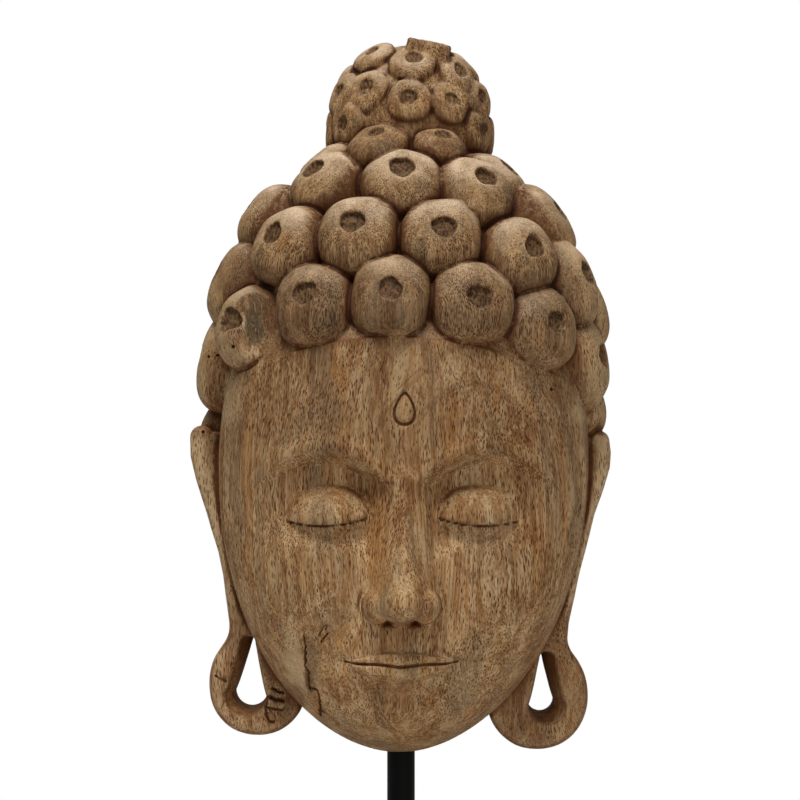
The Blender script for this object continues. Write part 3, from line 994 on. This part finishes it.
    # pores: open vessels along the grain, crowded in some growth bands
    dens = m.noise(m.map(co, (40, 40, 16), (4.4, 1.1, 0.7)), 1.0, 3.0, 0.6)
    dens = m.math("ADD", m.math("MULTIPLY", dens, 0.55), m.math("MULTIPLY", fine, 0.45))
    pv = m.voronoi(m.map(wav, (980, 980, 125)), 1.0, 1.0)
    lim = m.step(dens, 0.36, 0.60, 0.20, 0.42)
    pore = m.node("ShaderNodeMapRange", {0: pv, 1: m.math("MULTIPLY", lim, 0.75), 2: lim, 3: 1.0, 4: 0.0}).outputs[0]
    pv2 = m.voronoi(m.map(wav, (1350, 1350, 190), (0.31, 0.77, 0.13)), 1.0, 1.0)
    lim2 = m.step(dens, 0.36, 0.60, 0.24, 0.46)
    pore2 = m.node("ShaderNodeMapRange", {0: pv2, 1: m.math("MULTIPLY", lim2, 0.70), 2: lim2, 3: 1.0, 4: 0.0}).outputs[0]
    pores = m.math("MAXIMUM", pore, m.math("MULTIPLY", pore2, m.step(hair, 0.0, 1.0, 0.50, 0.80)))
    base = m.mix(m.math("MULTIPLY", pores, m.step(top, 0.0, 1.0, 0.92, 0.62)), base, (0.038, 0.016, 0.006))

    # bleached crests and tops, stain in the hollows
    grime = m.noise(m.map(co, (150, 150, 75)), 1.0, 5.0, 0.62)
    worn = m.noise(m.map(co, (70, 70, 50), (2.2, 5.1, 0.3)), 1.0, 3.0, 0.50)
    g = m.math("MULTIPLY_ADD", m.math("SUBTRACT", grime, 0.5), 0.85, 0.0)
    open_wood = m.step(pores, 0.0, 1.0, 1.0, 0.25)
    pale = m.math("MULTIPLY", m.step(m.math("ADD", ridge, g), 0.12, 0.62, 0.0, 0.42), open_wood)
    base = m.mix(pale, base, (0.694, 0.469, 0.266))
    base = m.mix(m.math("MULTIPLY", bleach, open_wood), base, (0.670, 0.430, 0.205))
    sun = m.math("MULTIPLY", m.math("MULTIPLY", top, hair), m.math("MULTIPLY", open_wood, m.step(worn, 0.36, 0.62, 0.30, 0.72)))
    base = m.mix(m.math("MULTIPLY", sun, m.step(z, CHIN_Z + 0.345, CHIN_Z + 0.385, 0.75, 1.25)), base, (0.740, 0.530, 0.325))
    furrow = m.noise(m.map(wav, (330, 330, 30)), 1.0, 3.0, 0.65)
    rows = m.math("MULTIPLY", m.step(z, CHIN_Z + 0.330, CHIN_Z + 0.378, 0.20, 1.15), m.step(z, CHIN_Z + 0.428, CHIN_Z + 0.440, 1.0, 0.55))
    walls = m.math("MULTIPLY", m.math("MULTIPLY", wall, rows), m.step(furrow, 0.40, 0.56, 1.0, 0.42))
    base = m.mix(walls, base, (0.092, 0.039, 0.013))
    shut = m.step(m.math("ADD", wide, g), 0.25, 0.95, 0.0, 0.72)
    base = m.mix(shut, base, (0.134, 0.052, 0.016))
    deep = m.step(m.math("ADD", near, m.math("MULTIPLY", g, 0.7)), 0.14, 0.52, 0.0, 0.96)
    base = m.mix(m.math("MULTIPLY", deep, m.step(hair, 0.0, 1.0, 0.72, 1.0)), base, (0.047, 0.016, 0.005))
    speck = m.noise(m.map(co, (620, 620, 300)), 1.0, 2.0, 0.6)
    base = m.mix(m.math("MULTIPLY", pit, 0.86), base, m.ramp(speck, [(0.38, (0.016, 0.008, 0.004)), (0.46, (0.056, 0.030, 0.012)), (0.58, (0.150, 0.084, 0.036))]))
    base = m.mix(m.math("MULTIPLY", stain, m.step(furrow, 0.30, 0.65, 0.92, 0.55)), base, (0.088, 0.034, 0.012))
    base = m.mix(m.math("MULTIPLY", crack, 0.93), base, (0.016, 0.008, 0.005))
    # darker wood is redder wood
    r, g2, b = m.node("ShaderNodeSeparateColor", {"Color": base}).outputs
    r = m.math("MULTIPLY", m.math("POWER", r, 0.80), 0.795)
    b = m.math("MULTIPLY", m.math("POWER", b, 1.20), 1.66)
    red = m.node("ShaderNodeCombineColor", {"Red": r, "Green": g2, "Blue": b}).outputs[0]
    base = m.mix(m.step(hair, 0.0, 1.0, 1.0, 0.35), base, red)
    m.put(m.bsdf.inputs["Base Color"], base)

    m.put(m.bsdf.inputs["Roughness"], m.step(grime, 0.2, 0.8, 0.58, 0.80))
    m.bsdf.inputs["Specular IOR Level"].default_value = 0.22

    hgt = m.math("MULTIPLY_ADD", pores, -0.80, m.math("MULTIPLY", fib, 0.35))
    hgt = m.math("MULTIPLY_ADD", m.math("MULTIPLY", m.math("MAXIMUM", wall, pit), furrow), 1.4, hgt)
    hgt = m.math("MULTIPLY_ADD", m.math("MULTIPLY", pit, speck), 1.6, hgt)
    bump = m.node("ShaderNodeBump", {"Strength": 0.55, "Distance": 0.0006, "Height": hgt})
    m.put(m.bsdf.inputs["Normal"], bump.outputs[0])
    return m.mat


def metal_material():
    m = Nodes("black_powder_coat")
    co = m.node("ShaderNodeTexCoord").outputs["Object"]
    grit = m.noise(co, 2600.0, 2.0, 0.6)
    big = m.noise(co, 26.0, 3.0, 0.6)
    m.put(m.bsdf.inputs["Base Color"], m.ramp(big, [(0.3, (0.0022, 0.0022, 0.0023)), (0.7, (0.0034, 0.0033, 0.0034))]))
    m.put(m.bsdf.inputs["Roughness"], m.step(big, 0.3, 0.7, 0.40, 0.50))
    m.bsdf.inputs["Specular IOR Level"].default_value = 0.08
    bump = m.node("ShaderNodeBump", {"Strength": 0.25, "Distance": 0.0002, "Height": grit})
    m.put(m.bsdf.inputs["Normal"], bump.outputs[0])
    return m.mat


# ---------------------------------------------------------------- build
mask = make_mask()
mask.data.materials.clear()
mask.data.materials.append(wood_material())
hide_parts("mask")
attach(mask, "root")

black = metal_material()
for n in ("stand_rod", "stand_foot"):
    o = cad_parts[n]
    o.data.materials.clear()
    o.data.materials.append(black)

# ---------------------------------------------------------------- floor, lights, camera
scene = bpy.context.scene
me = bpy.data.meshes.new("floor")
me.from_pydata([(-1.2, -1.2, -0.0002), (1.2, -1.2, -0.0002), (1.2, 0.70, -0.0002), (-1.2, 0.70, -0.0002)], [], [(0, 1, 2, 3)])
floor = bpy.data.objects.new("floor", me)
scene.collection.objects.link(floor)
fm = bpy.data.materials.new("pale_floor")
fm.use_nodes = True
fm.node_tree.nodes["Principled BSDF"].inputs["Base Color"].default_value = (0.80, 0.79, 0.77, 1)
fm.node_tree.nodes["Principled BSDF"].inputs["Roughness"].default_value = 0.8
me.materials.append(fm)


def area_light(name, loc, target, size, power, colour=(1, 1, 1)):
    d = bpy.data.lights.new(name, "AREA")
    d.shape = "RECTANGLE"
    d.size, d.size_y = size
    d.energy = power
    d.color = colour
    o = bpy.data.objects.new(name, d)
    scene.collection.objects.link(o)
    o.location = loc
    o.rotation_euler = (Vector(target) - Vector(loc)).to_track_quat("-Z", "Y").to_euler()
    return o


area_light("key", (-0.45, -1.45, 3.70), (0, 0, 0.38), (1.7, 1.3), 116.0, (1.0, 0.985, 0.96))
area_light("fill", (0.9, -2.3, 0.9), (0, 0, 0.38), (1.4, 1.4), 10.0, (1.0, 0.99, 0.98))

world = bpy.data.worlds.new("studio")
world.use_nodes = True
wt = world.node_tree
bg = wt.nodes["Background"]
bg.inputs["Color"].default_value = (1, 1, 1, 1)
bg.inputs["Strength"].default_value = 0.22
white = wt.nodes.new("ShaderNodeBackground")
white.inputs["Color"].default_value = (1, 1, 1, 1)
white.inputs["Strength"].default_value = 1.0
lp = wt.nodes.new("ShaderNodeLightPath")
mixw = wt.nodes.new("ShaderNodeMixShader")
wt.links.new(lp.outputs["Is Camera Ray"], mixw.inputs[0])
wt.links.new(bg.outputs[0], mixw.inputs[1])
wt.links.new(white.outputs[0], mixw.inputs[2])
wt.links.new(mixw.outputs[0], wt.nodes["World Output"].inputs[0])
scene.world = world
scene.view_settings.view_transform = "Standard"
scene.view_settings.look = "None"

cam_data = bpy.data.cameras.new("camera")
cam_data.sensor_width = 36.0
cam_data.lens = 152.36
cam = bpy.data.objects.new("camera", cam_data)
cam.location = (-0.0007, -2.4, CHIN_Z + 0.2485)
cam.rotation_euler = (math.pi / 2, 0, 0)
scene.collection.objects.link(cam)
scene.camera = cam
